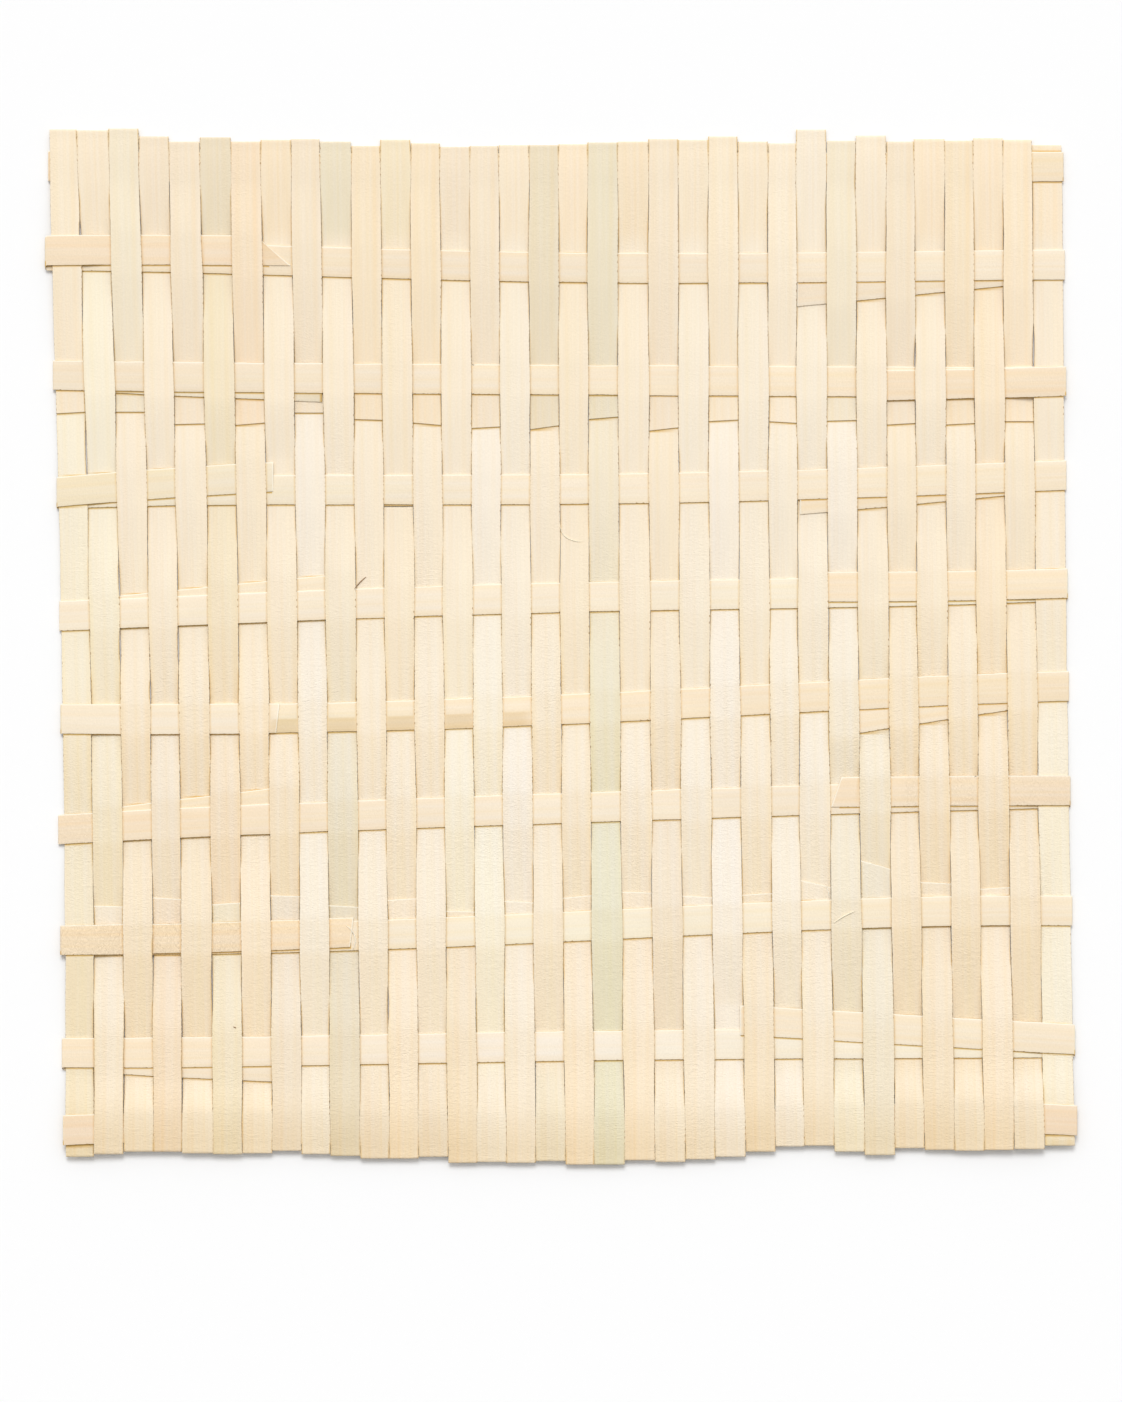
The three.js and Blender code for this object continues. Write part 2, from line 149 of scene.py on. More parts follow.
# The folds at the top and the bottom, the cut end of the tail on the face, how far that cut slants, how
# far the right edge strays from an even share, the finish, and the tints from the top to the bottom. The
# first tint is that of the tail on the face in odd strips, and the last one in even strips.
LONG_COLUMNS = ("top", "bottom", "cut", "slant", "stray", "finish", "first", "high", "low", "last")
LONG_ROWS = (
    (300.0, -296.0, 135.5, -1.0, -0.5, "cream", "wheat", "butter", "straw", "straw"),
    (299.5, -294.5, -150.5, 0.5, -0.2, "cream", "wheat", "butter", "straw", "wheat"),
    (300.5, -293.0, 136.0, 0.0, -0.1, "straw", "sage", "cream", "honey", "wheat"),
    (296.0, -293.0, -146.0, 1.0, -0.4, "pinkish", "shell", "cream", "shell", "peach"),
    (293.0, -294.0, 129.0, -0.5, 0.3, "straw", "shell", "cream", "honey", "wheat"),
    (295.5, -294.5, -149.0, -1.0, 0.5, "green", "moss", "straw", "peach", "straw"),
    (293.0, -294.0, 129.0, -1.5, 0.6, "peach", "peach", "wheat", "golden", "wheat"),
    (294.0, -292.5, -144.5, 0.5, 0.6, "peach", "honey", "cream", "honey", "shell"),
    (294.5, -294.5, 135.5, 0.0, 0.3, "cream", "shell", "ivory", "pale", "pale"),
    (293.0, -295.5, -150.5, 1.0, 0.6, "green", "olive", "cream", "olive", "moss"),
    (290.5, -297.0, 131.5, 0.5, 0.3, "peach", "honey", "cream", "cream", "shell"),
    (294.0, -297.0, -146.5, -1.0, 0.3, "cream", "straw", "wheat", "wheat", "golden"),
    (292.0, -296.0, 129.0, 1.5, 0.0, "straw", "honey", "cream", "cream", "shell"),
    (290.0, -299.5, -153.5, 0.5, 0.0, "pinkish", "shell", "cream", "butter", "honey"),
    (290.5, -299.0, 127.0, -1.0, -0.4, "cream", "shell", "ivory", "butter", "pale"),
    (291.0, -299.5, -148.0, 1.0, -0.4, "pinkish", "wheat", "pale", "ivory", "cream"),
    (291.0, -298.5, 127.0, -2.5, -0.5, "green", "moss", "cream", "wheat", "sage"),
    (291.5, -300.5, -145.0, -1.5, -0.9, "peach", "golden", "wheat", "wheat", "golden"),
    (292.5, -300.5, 132.5, -1.5, -0.6, "green", "olive", "sage", "green", "green"),
    (293.0, -298.0, -142.5, 0.5, -0.1, "peach", "honey", "cream", "cream", "golden"),
    (294.5, -299.0, 126.0, -2.0, 0.0, "pinkish", "shell", "wheat", "shell", "cream"),
    (294.0, -297.5, -145.0, 1.0, 0.2, "cream", "wheat", "pale", "pale", "cream"),
    (296.0, -296.0, 131.0, -1.0, 0.3, "cream", "wheat", "ivory", "ivory", "ivory"),
    (293.0, -293.0, -143.5, -1.0, 0.5, "pinkish", "wheat", "pale", "wheat", "honey"),
    (292.0, -290.0, 130.0, 1.0, -0.2, "cream", "cream", "pale", "pale", "ivory"),
    (300.0, -289.5, -137.5, 4.0, 0.1, "pinkish", "pale", "pale", "pale", "wheat"),
    (293.5, -293.0, 131.0, -0.5, 0.1, "green", "sage", "ivory", "sage", "butter"),
    (296.5, -295.0, -126.5, 5.0, 0.4, "straw", "cream", "cream", "sage", "sage"),
    (293.0, -291.0, 129.0, -1.0, -0.1, "green", "shell", "wheat", "honey", "wheat"),
    (294.5, -292.0, -137.0, 1.0, 0.2, "cream", "golden", "cream", "honey", "honey"),
    (293.5, -292.5, 129.0, -1.0, -0.3, "peach", "honey", "cream", "honey", "wheat"),
    (295.0, -292.0, -140.0, -1.0, -0.1, "peach", "golden", "golden", "honey", "golden"),
    (294.0, -291.5, 130.5, 0.0, -0.2, "straw", "golden", "wheat", "honey", "cream"),
    (291.0, -289.5, -250.0, 0.0, 0.0, "straw", "golden", "cream", "butter", "straw"),
)

# The height of a crossing strip's middle line at five places from the left to the right, then for its left
# end and its right end how far the fold stands past the outermost strip, where the tail is cut, how far the
# tail has drifted off the strip at its fold and at its cut, and how far the cut slants.
CROSS_COLUMNS = ("name", "middle", "left", "right", "finish", "tints")
CROSS_ROWS = (
    ("A", (278.4, 277.5, 277.2, 277.5, 278.1), (-0.7, -284, 0, 0, 0), (0.0, 179, 0, 0, 0),
     "peach", ("peach", "peach", "wheat", "honey", "honey")),
    ("B", (226.5, 223.3, 219.8, 219.7, 221.3), (2.4, -166.8, 2.9, 5.4, -20), (0.0, 136.9, -0.6, -13.9, 0),
     "pinkish", ("peach", "honey", "shell", "cream", "shell")),
    ("C", (157.2, 155.6, 154.6, 153.7, 153.7), (0.0, -138.6, 0, -5.2, 0), (0.0, 182.1, 0, -2.3, 0),
     "peach", ("sage", "shell", "wheat", "golden", "peach")),
    ("D", (88.4, 90.9, 91.2, 94.0, 99.2), (0.0, -166.8, 1.2, 7.5, 0), (0.0, 138.6, 0, -8.7, 0),
     "pinkish", ("straw", "sage", "cream", "wheat", "honey")),
    ("E", (17.7, 23.8, 28.4, 31.0, 35.1), (0.0, -119.5, 0, 9.3, 0), (0.0, 147.3, 1.5, 3.5, 0),
     "cream", ("wheat", "cream", "cream", "butter", "golden")),
    ("F", (-42.0, -41.2, -36.5, -29.3, -23.0), (0.3, -164.1, 0, 0, 2), (0.0, 170.5, -0.6, -13.9, 0),
     "straw", ("cream", "straw", "golden", "honey", "golden")),
    ("G", (-106.1, -99.0, -93.8, -89.0, -85.0), (2.5, -163.0, 0, 9.3, 0), (0.0, 159.6, 1.5, 4.1, 6),
     "peach", ("honey", "peach", "cream", "shell", "peach")),
    ("H", (-170.5, -168.4, -162.6, -155.8, -153.1), (1.5, -121.2, 0.3, 2.0, 2), (0.0, 185, 0, 0, 0),
     "cream", ("amber", "peach", "butter", "wheat", "cream")),
    ("I", (-235.4, -234.2, -231.7, -230.3, -229.4), (1.0, -165.9, -1.7, -9.3, 0), (0.3, 103.8, 1.7, 13.9, 0),
     "cream", ("wheat", "golden", "ivory", "butter", "wheat")),
    ("J", (-280.4, -279.9, -281.0, -275.8, -274.1), (0.6, -186, 0, 0, 0), (0.3, 284, 0, 0, 0),
     "peach", ("rose", "honey", "honey", "rose", "peach")),
)
MIDDLE_REACH = 290
TAIL_COLUMNS = ("past", "cut", "drift", "cut_drift", "slant")

TINTS = {
    "ivory": (0.908, 0.808, 0.667),
    "butter": (0.905, 0.812, 0.630),
    "pale": (0.896, 0.787, 0.624),
    "cream": (0.900, 0.777, 0.601),
    "wheat": (0.893, 0.763, 0.576),
    "golden": (0.909, 0.759, 0.559),
    "amber": (0.912, 0.732, 0.508),
    "sage": (0.856, 0.751, 0.572),
    "shell": (0.863, 0.733, 0.557),
    "honey": (0.879, 0.732, 0.530),
    "straw": (0.861, 0.740, 0.532),
    "peach": (0.878, 0.716, 0.520),
    "green": (0.793, 0.733, 0.541),
    "olive": (0.800, 0.709, 0.529),
    "rose": (0.851, 0.676, 0.486),
    "moss": (0.797, 0.689, 0.507),
}

# Tails whose cut end has another tint, and how far it reaches.
CUT_TINTS = {("C", "left"): ("moss", 24), ("D", "left"): ("sage", 90)}

# Places where two neighbours part: the line between them, the height, how far that reaches and how wide.
PARTED = (
    (1, 239, 9, 1.1),
    (1, 112, 22, 0.9),
    (1, -238, 40, 0.55),
    (2, 38, 13, 0.8),
    (2, -1, 12, 0.8),
    (2, -246, 40, 0.55),
    (3, -26, 8, 0.8),
    (3, -176, 9, 0.9),
    (4, 0, 13, 0.9),
    (4, -243, 46, 0.6),
    (5, -196, 19, 0.8),
    (11, -208, 12, 0.8),
    (29, 169, 9, 0.9),
    (33, 172, 16, 1.0),
)

LONG = [dict(zip(LONG_COLUMNS, row)) for row in LONG_ROWS]
CROSS = [dict(zip(CROSS_COLUMNS, row)) for row in CROSS_ROWS]
for strip in CROSS:
    for end in ("left", "right"):
        strip[end] = dict(zip(TAIL_COLUMNS, strip[end]))
LAST_LONG = len(LONG) - 1
LAST_CROSS = len(CROSS) - 1
MIDDLE_PLACES = tuple(MIDDLE_REACH * (k / 2 - 1) for k in range(5))


def smooth(places, values, at):
    """The smooth curve through values that stand at the given places."""
    total = 0
    for k, value in enumerate(values):
        for j, place in enumerate(places):
            if j != k:
                value *= (at - place) / (places[k] - place)
        total += value
    return total


def line_x(line, y):
    """X of the line between two neighbours at height y. Line 0 is the left side of the rug."""
    left = smooth(EDGE_HEIGHTS, LEFT_EDGE, y)
    right = smooth(EDGE_HEIGHTS, RIGHT_EDGE, y)
    share = line / len(LONG)
    stray = LONG[line - 1]["stray"] if line else 0
    return left + (right - left) * share + smooth(EDGE_HEIGHTS, BOW, y) * math.sin(math.pi * share) + stray


def solid_sides(column, y):
    """The even sides of a long strip's solid."""
    left = line_x(column, y) + (SOLID_SLIT / 2 if column else 0)
    right = line_x(column + 1, y) - (SOLID_SLIT / 2 if column < LAST_LONG else 0)
    return left, right


def parted(line, y):
    """How wide two neighbours part at a line, in mm."""
    gaps = [
        width * (1 - ((y - height) / reach) ** 2)
        for place, height, reach, width in PARTED
        if place == line
    ]
    return max([0, *gaps])


def ease(share):
    share = min(max(share, 0), 1)
    return share * share * (3 - 2 * share)


def uneven(wave, line, y, aside=0):
    """Smooth unevenness along a line, from -1 to 1."""
    step, length, layer = wave
    return noise.noise(Vector((line * step + aside, y / length, layer)))


def leaf_sides(column, y):
    """The ragged sides of a strip: neighbours wander together, and the slit between them varies.

    A strip spreads over the one beside it where it passes over a crossing strip."""
    sides = []
    for line, away in ((column, 1), (column + 1, -1)):
        wander = WANDER * uneven(WANDER_WAVE, line, y)
        fray = FRAY * uneven(FRAY_WAVE, line, y, away)
        slit = 0
        if line == 0:
            wander += LEAN * ease((y - LEAN_FROM) / (LONG[0]["top"] - LEAN_FROM))
        if 0 < line <= LAST_LONG:
            for row, crossing in enumerate(CROSS):
                over = 1 if row % 2 == line % 2 else -1
                wander += SPREAD * over * math.exp(-((y - crossing["middle"][2]) / SPREAD_REACH) ** 2)
            varied = SLIT + SLIT_VARIES * uneven(SLIT_WAVE, line, y)
            slit = max(LEAST_SLIT, varied, parted(line, y))
        sides.append(line_x(line, y) + wander + fray + away * slit / 2)
    return sides


def middle_y(row, x):
    """Height of a crossing strip's middle line at x."""
    return smooth(MIDDLE_PLACES, CROSS[row]["middle"], x)


def on_line(row, line):
    """X where a crossing strip meets a line between neighbours."""
    return line_x(line, middle_y(row, line_x(line, 0)))


def tail_of(row, side):
    """The tail at the left (-1) or the right (1) end of a crossing strip."""
    return CROSS[row]["left" if side < 0 else "right"]


def fold_x(row, side):
    """Where a crossing strip's end turns back round the outermost strip."""
    middle = middle_y(row, side * MIDDLE_REACH)
    heights = (middle - HALF_CROSS, middle, middle + HALF_CROSS)
    if side < 0:
        return min(solid_sides(0, y)[0] for y in heights) - tail_of(row, side)["past"]
    return max(solid_sides(LAST_LONG, y)[1] for y in heights) + tail_of(row, side)["past"]


def drift_at(row, side, x):
    """How far a tail of a crossing strip has drifted off it at x."""
    tail = tail_of(row, side)
    fold = fold_x(row, side)
    return tail["drift"] + (tail["cut_drift"] - tail["drift"]) * (x - fold) / (tail["cut"] - fold)


def meeting(row, column):
    """The even sides of a long strip where it meets a crossing strip."""
    return solid_sides(column, middle_y(row, line_x(column, 0)))


def tail_side(row, column):
    """Which tail of a crossing strip lies at a column: the left (-1), the right (1) or neither (0)."""
    left, right = meeting(row, column)
    if left < CROSS[row]["left"]["cut"]:
        return -1
    return 1 if right > CROSS[row]["right"]["cut"] else 0


def band(row, column):
    """Heights between which a crossing strip and its tail lie at a column."""
    side = tail_side(row, column)
    heights = []
    for x in meeting(row, column):
        middle = middle_y(row, x)
        heights.append(middle)
        if side:
            heights.append(middle + drift_at(row, side, x))
    return min(heights) - HALF_CROSS, max(heights) + HALF_CROSS


def long_tail(row, column):
    """Whether a long strip's tail lies at a crossing: None, or (on the face, wraps the crossing strip).

    The last strip's bottom tail stays behind, below one crossing strip."""
    if row < TAIL_CROSSINGS:
        return column % 2 == 0, row == 0
    last = column == LAST_LONG
    if row <= LAST_CROSS - (1 if last else TAIL_CROSSINGS):
        return None
    return column % 2 == 1 and not last, row == LAST_CROSS and not last


def tail_on_face(row, side):
    """Whether the tail at one end of a crossing strip lies on top of it."""
    return row % 2 == (1 if side < 0 else 0)


def cross_tail(row, column):
    """Whether a crossing strip's tail lies at a crossing: None, or (on top of it, wraps the long strip)."""
    side = tail_side(row, column)
    if not side:
        return None
    return tail_on_face(row, side), column == (0 if side < 0 else LAST_LONG)


def pile_at(row, column):
    """What lies at one crossing, lowest first."""
    strands = {"long": long_tail(row, column), "cross": cross_tail(row, column)}
    pile = ["long", "cross"] if row % 2 == column % 2 else ["cross", "long"]
    for name, tail in strands.items():
        if tail and not tail[1]:
            pile.insert(pile.index(name) + (1 if tail[0] else 0), name + "_tail")
    for name, tail in strands.items():
        if tail and tail[1]:
            pile.insert(len(pile) if tail[0] else 0, name + "_tail")
    return pile


PILES = {(row, column): pile_at(row, column) for row in range(len(CROSS)) for column in range(len(LONG))}


def level_at(row, column, layer, line):
    """Height of a layer at a crossing, counted in layers from the crossing strip.

    Beside a corner, the outer side of a tail that wraps there follows the corner's own pile."""
    pile = PILES[row, column]
    level = pile.index(layer) - pile.index("cross")
    if layer != "long_tail" or not long_tail(row, column)[1] or not cross_tail(row, column):
        return level
    if (column, line) == (1, 1):
        beside = 0
    elif (column, line) == (LAST_LONG - 1, LAST_LONG):
        beside = LAST_LONG
    else:
        return level
    return level + level_at(row, beside, "cross_tail", line) - level_at(row, column, "cross_tail", line)


def lifts(row):
    """How many layers a crossing strip is lifted at each line, smoothly along its length."""
    under = [PILES[row, column].index("cross") for column in range(len(LONG))]
    most = [max(under[max(line - LIFT_REACH, 0):line + LIFT_REACH]) for line in range(len(LONG) + 1)]
    near = [most[max(line - 1, 0):line + 2] for line in range(len(LONG) + 1)]
    return [sum(values) / len(values) for values in near]


LIFTS = [lifts(row) for row in range(len(CROSS))]
LIFTS[LAST_CROSS] = [value + EDGE_LIFT for value in LIFTS[LAST_CROSS]]


def height_at(row, line, level):
    """Height of a layer's middle above the floor, in mm."""
    return (LIFTS[row][line] + level) * LAYER + HALF_SOLID


def blend(a, b, share):
    return tuple(p + (q - p) * share for p, q in zip(a, b))


def spread(start, stop, step):
    count = max(1, math.ceil(abs(stop - start) / step))
    return [start + (stop - start) * k / count for k in range(count + 1)]


def from_cut(cut, stop):
    """Places from a cut end, close together at the end so that it can be round and frayed."""
    towards = 1 if stop > cut else -1
    first, second = CUT_STEPS
    return [cut, cut + first * towards] + spread(cut + second * towards, stop, STEP)


def level_spans(column, layer, rows):
    """Where a layer of a long strip lies level, from the bottom up: (low, high, (left z, right z))."""
    spans = []
    for row in sorted(rows, reverse=True):
        low, high = band(row, column)
        z = tuple(height_at(row, line, level_at(row, column, layer, line)) for line in (column, column + 1))
        spans.append((low - FLAT_MARGIN, high + FLAT_MARGIN, z))
    return spans


def lie(spans, y):
    """The heights of a strip's left and right side at y, rising and falling between crossings."""
    if y <= spans[0][1]:
        return spans[0][2]
    for (_, high, z), (low, far, next_z) in zip(spans, spans[1:]):
        if y < low:
            share = (y - high) / (low - high)
            return blend(z, next_z, share + BEND * (ease(share) - share))
        if y <= far:
            return next_z
    return spans[-1][2]


def tail_rows(column):
    """The crossing strips over which the tail on a long strip's face lies."""
    return [row if column % 2 == 0 else LAST_CROSS - row for row in range(TAIL_CROSSINGS)]


BODIES = [level_spans(column, "long", range(len(CROSS))) for column in range(len(LONG))]
FRONT_TAILS = [level_spans(column, "long_tail", tail_rows(column)) for column in range(LAST_LONG)]


def face_z(column, y, side):
    """Height of what lies uppermost in a column of long strips at y, at its left (0) or right (1) side."""
    z = lie(BODIES[column], y)[side]
    beyond = y - LONG[column]["cut"] if column % 2 == 0 else LONG[column]["cut"] - y
    if column < LAST_LONG and beyond > 0:
        z = max(z, lie(FRONT_TAILS[column], y)[side])
    return z


def overshadowed(column, y, z):
    """How far the neighbours on the left and the right stand above a long strip, from 0 to 1."""
    above = [0, 0]
    if column > 0:
        above[0] = face_z(column - 1, y, 1) - z[0]
    if column < LAST_LONG:
        above[1] = face_z(column + 1, y, 0) - z[1]
    return [min(max(height / LAYER, 0), 1) for height in above]


def lying_on(layer, row, column):
    """What lies above a layer at a crossing, without a crossing strip's tail that is cut off there."""
    pile = PILES[row, column]
    above = pile[pile.index(layer) + 1:] if layer in pile else []
    left, right = meeting(row, column)
    cut_here = any(left < CROSS[row][end]["cut"] < right for end in ("left", "right"))
    return [name for name in above if not (cut_here and name == "cross_tail")]


def covered_at(column, layer):
    """Heights between which a layer of a long strip is covered, at its left and its right side."""
    covers = []
    strip = LONG[column]
    if layer == "long" and column % 2 == 0:
        half = strip["slant"] / 2
        covers.append([(strip["cut"] + half, strip["top"]), (strip["cut"] - half, strip["top"])])
    for row in range(len(CROSS)):
        names = [name for name in lying_on(layer, row, column) if name.startswith("cross")]
        cover = []
        for x in meeting(row, column):
            middle, side = middle_y(row, x), tail_side(row, column)
            heights = [middle + (drift_at(row, side, x) if name == "cross_tail" else 0) for name in names]
            if names:
                cover.append((min(heights) - HALF_CROSS, max(heights) + HALF_CROSS))
        covers += [cover] if cover else []
    return covers


def gap_to(place, covers, side, lit_side=1):
    """Distance from a place on one side of a strip to the nearest strip that covers it."""
    away = [max(cover[side][0] - place, (place - cover[side][1]) * lit_side, 0) for cover in covers]
    return min(away, default=FAR)


def contact_shade(place, covers, side, lit_side=1):
    """1 where a strip is covered, falling to 0 at a short reach outside."""
    return max(0, 1 - gap_to(place, covers, side, lit_side) / CONTACT_REACH)


def with_contacts(places, covers):
    """Places along a strip, with more of them beside each cover so that its shade has a narrow rim."""
    first, last = places[0], places[-1]
    more = []
    for cover in covers:
        for low, high in cover:
            more += [low - CONTACT_REACH, low - UNDER_RIM, high + OVER_RIM, high + CONTACT_REACH]
    least, most = min(first, last) + RIM_MARGIN, max(first, last) - RIM_MARGIN
    inside = [place for place in more if least < place < most]
    return sorted(set(places) | set(inside), reverse=last < first)


def sunk(z, distance, droop):
    """The heights of a layer on top of the pile, which sinks towards the fold."""
    drop = droop * max(0, 1 - abs(distance) / DROOP_REACH) ** 2
    return tuple(value - drop for value in z)


def fold_shaded(tint, distance):
    """A tint at a distance from a bottom fold, with painted shade that is darker and more ochre towards the
    fold.
    """
    share = ease(1 - abs(distance) / FOLD_SHADE_REACH)
    return tuple(value * (1 + (painted_shade - 1) * share) for value, painted_shade in zip(tint, FOLD_SHADE_TINT))


def paler_or_darker(tint, facing):
    """A tint made paler by a share of these amounts, or darker by a negative one. On slopes this is painted
    light where they face the light and painted shade where they face away.
    """
    return tuple(value * (1 + amount * facing) for value, amount in zip(tint, PALER_SHARES))


def fold_steps(start, stop):
    """A pressed fold from one height to another: shares of the reach past the fold's place, and heights."""
    turns = [math.pi * k / FOLD_STEPS for k in range(1, FOLD_STEPS)]
    steps = []
    for turn in turns:
        rise = math.copysign(abs(math.cos(turn)) ** FOLD_SQUARE, math.cos(turn))
        steps.append((math.sin(turn) ** FOLD_SQUARE, start + (stop - start) / 2 * (1 - rise)))
    return steps


def long_stations(column):
    """(y, (left z, right z), tint, distance to the cut end, shade of what covers it) along a long strip.

    It runs from one cut end to the other."""
    strip = LONG[column]
    body = BODIES[column]

    def end(edge_y, edge_row, towards, crossings, shown):
        rows = [edge_row + towards * k for k in range(crossings)]
        spans = level_spans(column, "long_tail", rows)
        start, stop = lie(body, edge_y), lie(spans, edge_y)
        low, high = band(edge_row, column)
        room = edge_y - high if towards > 0 else low - edge_y
        reach = min(max(room - FOLD_ROOM, LEAST_FOLD), MOST_FOLD)
        fold_y = edge_y - towards * reach
        reach -= HALF_SOLID
        last, far = (spans[0], spans[0][0]) if towards > 0 else (spans[-1], spans[-1][1])
        offset = last[2][0] - lie(body, (last[0] + last[1]) / 2)[0]
        cut = strip["cut"] if shown else far - towards * (HIDDEN_TAIL - FLAT_MARGIN)
        tint = TINTS[strip["first" if towards > 0 else "last"]]
        tail_on_top = stop[0] > start[0]
        droop = min(DROOP, abs(stop[0] - start[0]) - LEAF - AIR)
        covers = covered_at(column, "long_tail") if tail_on_top else []
        made = []
        for y in with_contacts(from_cut(cut, fold_y), covers):
            beyond = (far - y) * towards > 0
            z = tuple(value + offset for value in lie(body, y)) if beyond else lie(spans, y)
            if tail_on_top:
                z = sunk(z, fold_y - y, droop)
            shade = [contact_shade(y, covers, side, LIT_SIDE) for side in (0, 1)]
            to_cut = abs(y - cut) + (UNLIT_CUT if towards > 0 else 0)
            paler = paler_or_darker(tint, TAIL_PALER * ease((y - TAIL_PALER_FROM) / PALER_FADE))
            made.append((y, z, fold_shaded(paler, fold_y - y) if towards < 0 else tint, to_cut, shade))
        if tail_on_top:
            stop = sunk(stop, 0, droop)
        else:
            start = sunk(start, 0, droop)
        for (past, left), (_, right) in zip(fold_steps(stop[0], start[0]), fold_steps(stop[1], start[1])):
            # a bottom fold is painted in its full shade
            painted_shade = fold_shaded(tint, 0) if towards < 0 else tint
            made.append((fold_y + towards * reach * past, (left, right), painted_shade, FAR, (0, 0)))
        return fold_y, made, 0 if tail_on_top else droop

    last_column = column == LAST_LONG
    shown = column % 2 == 1 or last_column
    bottom_crossings = 1 if last_column else TAIL_CROSSINGS
    top_y, top, top_droop = end(strip["top"], 0, 1, TAIL_CROSSINGS, column % 2 == 0)
    bottom_y, bottom, bottom_droop = end(strip["bottom"], LAST_CROSS, -1, bottom_crossings, shown)
    middle = []
    covers = covered_at(column, "long")
    for y in with_contacts(spread(bottom_y, top_y, STEP), covers):
        tint = blend(TINTS[strip["low"]], TINTS[strip["high"]], ease((y - LOW_TO) / (HIGH_FROM - LOW_TO)))
        if column % 2:
            tint = blend(tint, TINTS[strip["first"]], ease((y - FIRST_FROM) / TINT_REACH))
        else:
            tint = blend(tint, TINTS[strip["last"]], ease((LAST_FROM - y) / TINT_REACH))
        # Painted light and shade: a slope facing the light is painted paler, one facing away darker.
        rise = (lie(body, y - RISE_REACH)[0] - lie(body, y + RISE_REACH)[0]) / LAYER
        facing = min(max(rise / RISE, -1), 1)
        facing *= ease((SLOPE_LIGHT_FROM - y) / SLOPE_LIGHT_GROWS) * ease((y - SLOPE_LIGHT_TO) / PALER_FADE)
        tint = paler_or_darker(fold_shaded(tint, y - bottom_y), facing)
        z = sunk(sunk(lie(body, y), top_y - y, top_droop), y - bottom_y, bottom_droop)
        middle.append((y, z, tint, FAR, [contact_shade(y, covers, side, LIT_SIDE) for side in (0, 1)]))
    return bottom + middle + top[::-1]


# Places across a strip, close together at its sides and at the crease.
ACROSS = (0, 0.015, 0.05, 0.11, 0.3, 0.5, 0.56, 0.89, 0.95, 0.985, 1)


def placed_object(name, data):
    """A new object in the scene."""
    made = bpy.data.objects.new(name, data)
    bpy.context.collection.objects.link(made)
    return made


def mesh_object(name, bm):
    """A new object in the scene from a finished mesh."""
    mesh = bpy.data.meshes.new(name)
    bm.to_mesh(mesh)
    bm.free()
    return placed_object(name, mesh)


def plain_material(name, roughness):
    """A new material, its nodes, their links and its shader."""
    material = bpy.data.materials.new(name)
    material.use_nodes = True
    nodes = material.node_tree.nodes
    shader = nodes["Principled BSDF"]
    shader.inputs["Roughness"].default_value = roughness
    return material, nodes, material.node_tree.links, shader


def patches(place, patch):
    """Soft patches over the face, from -1 to 1."""
    across, along, layer = patch
    return noise.noise(Vector((place.x / across, place.y / along, layer)))


def leaf_piece(name, rows, finish, wrinkles, crown, highlit_side):
    """One strip of leaf from its rows.

    Each row has the left and right corner, the tint, the distance to the cut end, the rise of a crease and
    its share, how far the neighbours on both sides stand above it, the shade of what covers it at both
    sides, the height of the lower edge of a layer that laps it lengthwise, or None, and how much painted
    shade browns both sides where a slit parts. A strip may have a painted highlight along its left side,
    like the one on its cut ends."""
    bm = bmesh.new()
    bmesh.ops.create_grid(bm, x_segments=len(ACROSS) - 1, y_segments=len(rows) - 1, size=0.5)
    tint_layer = bm.verts.layers.float_color.new("tint")
    edge_layer, end_layer, wrinkle_layer, shade_layer, lap_layer = (
        bm.verts.layers.float.new(key) for key in ("edge", "end", "wrinkle", "shade", "lap")
    )
    uv_layer = bm.loops.layers.uv.new("leaf")
    middles = [(row[0] + row[1]) / 2 for row in rows]
    along = [0.0]
    for before, after in zip(middles, middles[1:]):
        along.append(along[-1] + (after - before).length)
    placed = {}
    for vert in bm.verts:
        k = round((vert.co.y + 0.5) * (len(rows) - 1))
        share = ACROSS[round((vert.co.x + 0.5) * (len(ACROSS) - 1))]
        left, right, tint, to_cut, crease, creased, beside, cover, lap, painted_shade = rows[k]
        width = (right - left).length
        out = abs(2 * share - 1)
        vert.co = left.lerp(right, share)
        vert.co.z += crown * (1 - out ** 4) + crease * (1 - out)
        # Painted shade: beside higher neighbours, where the strip is covered, and on the far side of a
        # crease.
        near = [max(0, 1 - distance * width / SIDE_SHADE) for distance in (share, 1 - share)]
        patchy = min(max(SIDE_MEAN + patches(left, SIDE_PATCH), 0), SIDE_MOST)
        by_sides = [patchy * close * above for close, above in zip(near, beside)]
        covered = cover[0] + (cover[1] - cover[0]) * share
        crease_shaded = CREASE_SHADE * creased if share > 0.5 else 0
        vert[shade_layer] = max(*by_sides, covered, crease_shaded)
        vert[lap_layer] = lap - vert.co.y if lap is not None else FAR
        placed[vert] = ((share - 0.5) * width, along[k])
        vert[tint_layer] = (*tint, 1)
        vert[edge_layer] = (1 - share if highlit_side else min(share, 1 - share)) * width
        if share in (0, 1):
            # painted shade browns the side of a parted slit
            vert[edge_layer] -= painted_shade[share]
        vert[end_layer] = min(to_cut, share * width) if highlit_side else to_cut
        vert[wrinkle_layer] = wrinkles(vert.co)
        vert.co *= MM
    for face in bm.faces:
        face.smooth = True
        for loop in face.loops:
            u, v = placed[loop.vert]
            loop[uv_layer].uv = (u * MM, v * MM)
    piece = mesh_object(name, bm)
    solid = piece.modifiers.new("leaf thickness", "SOLIDIFY")
    solid.thickness = LEAF * MM
    solid.offset = 0
    piece.data.materials.append(leaf_material("dried_" + finish))
    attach(piece, "root")
    return piece


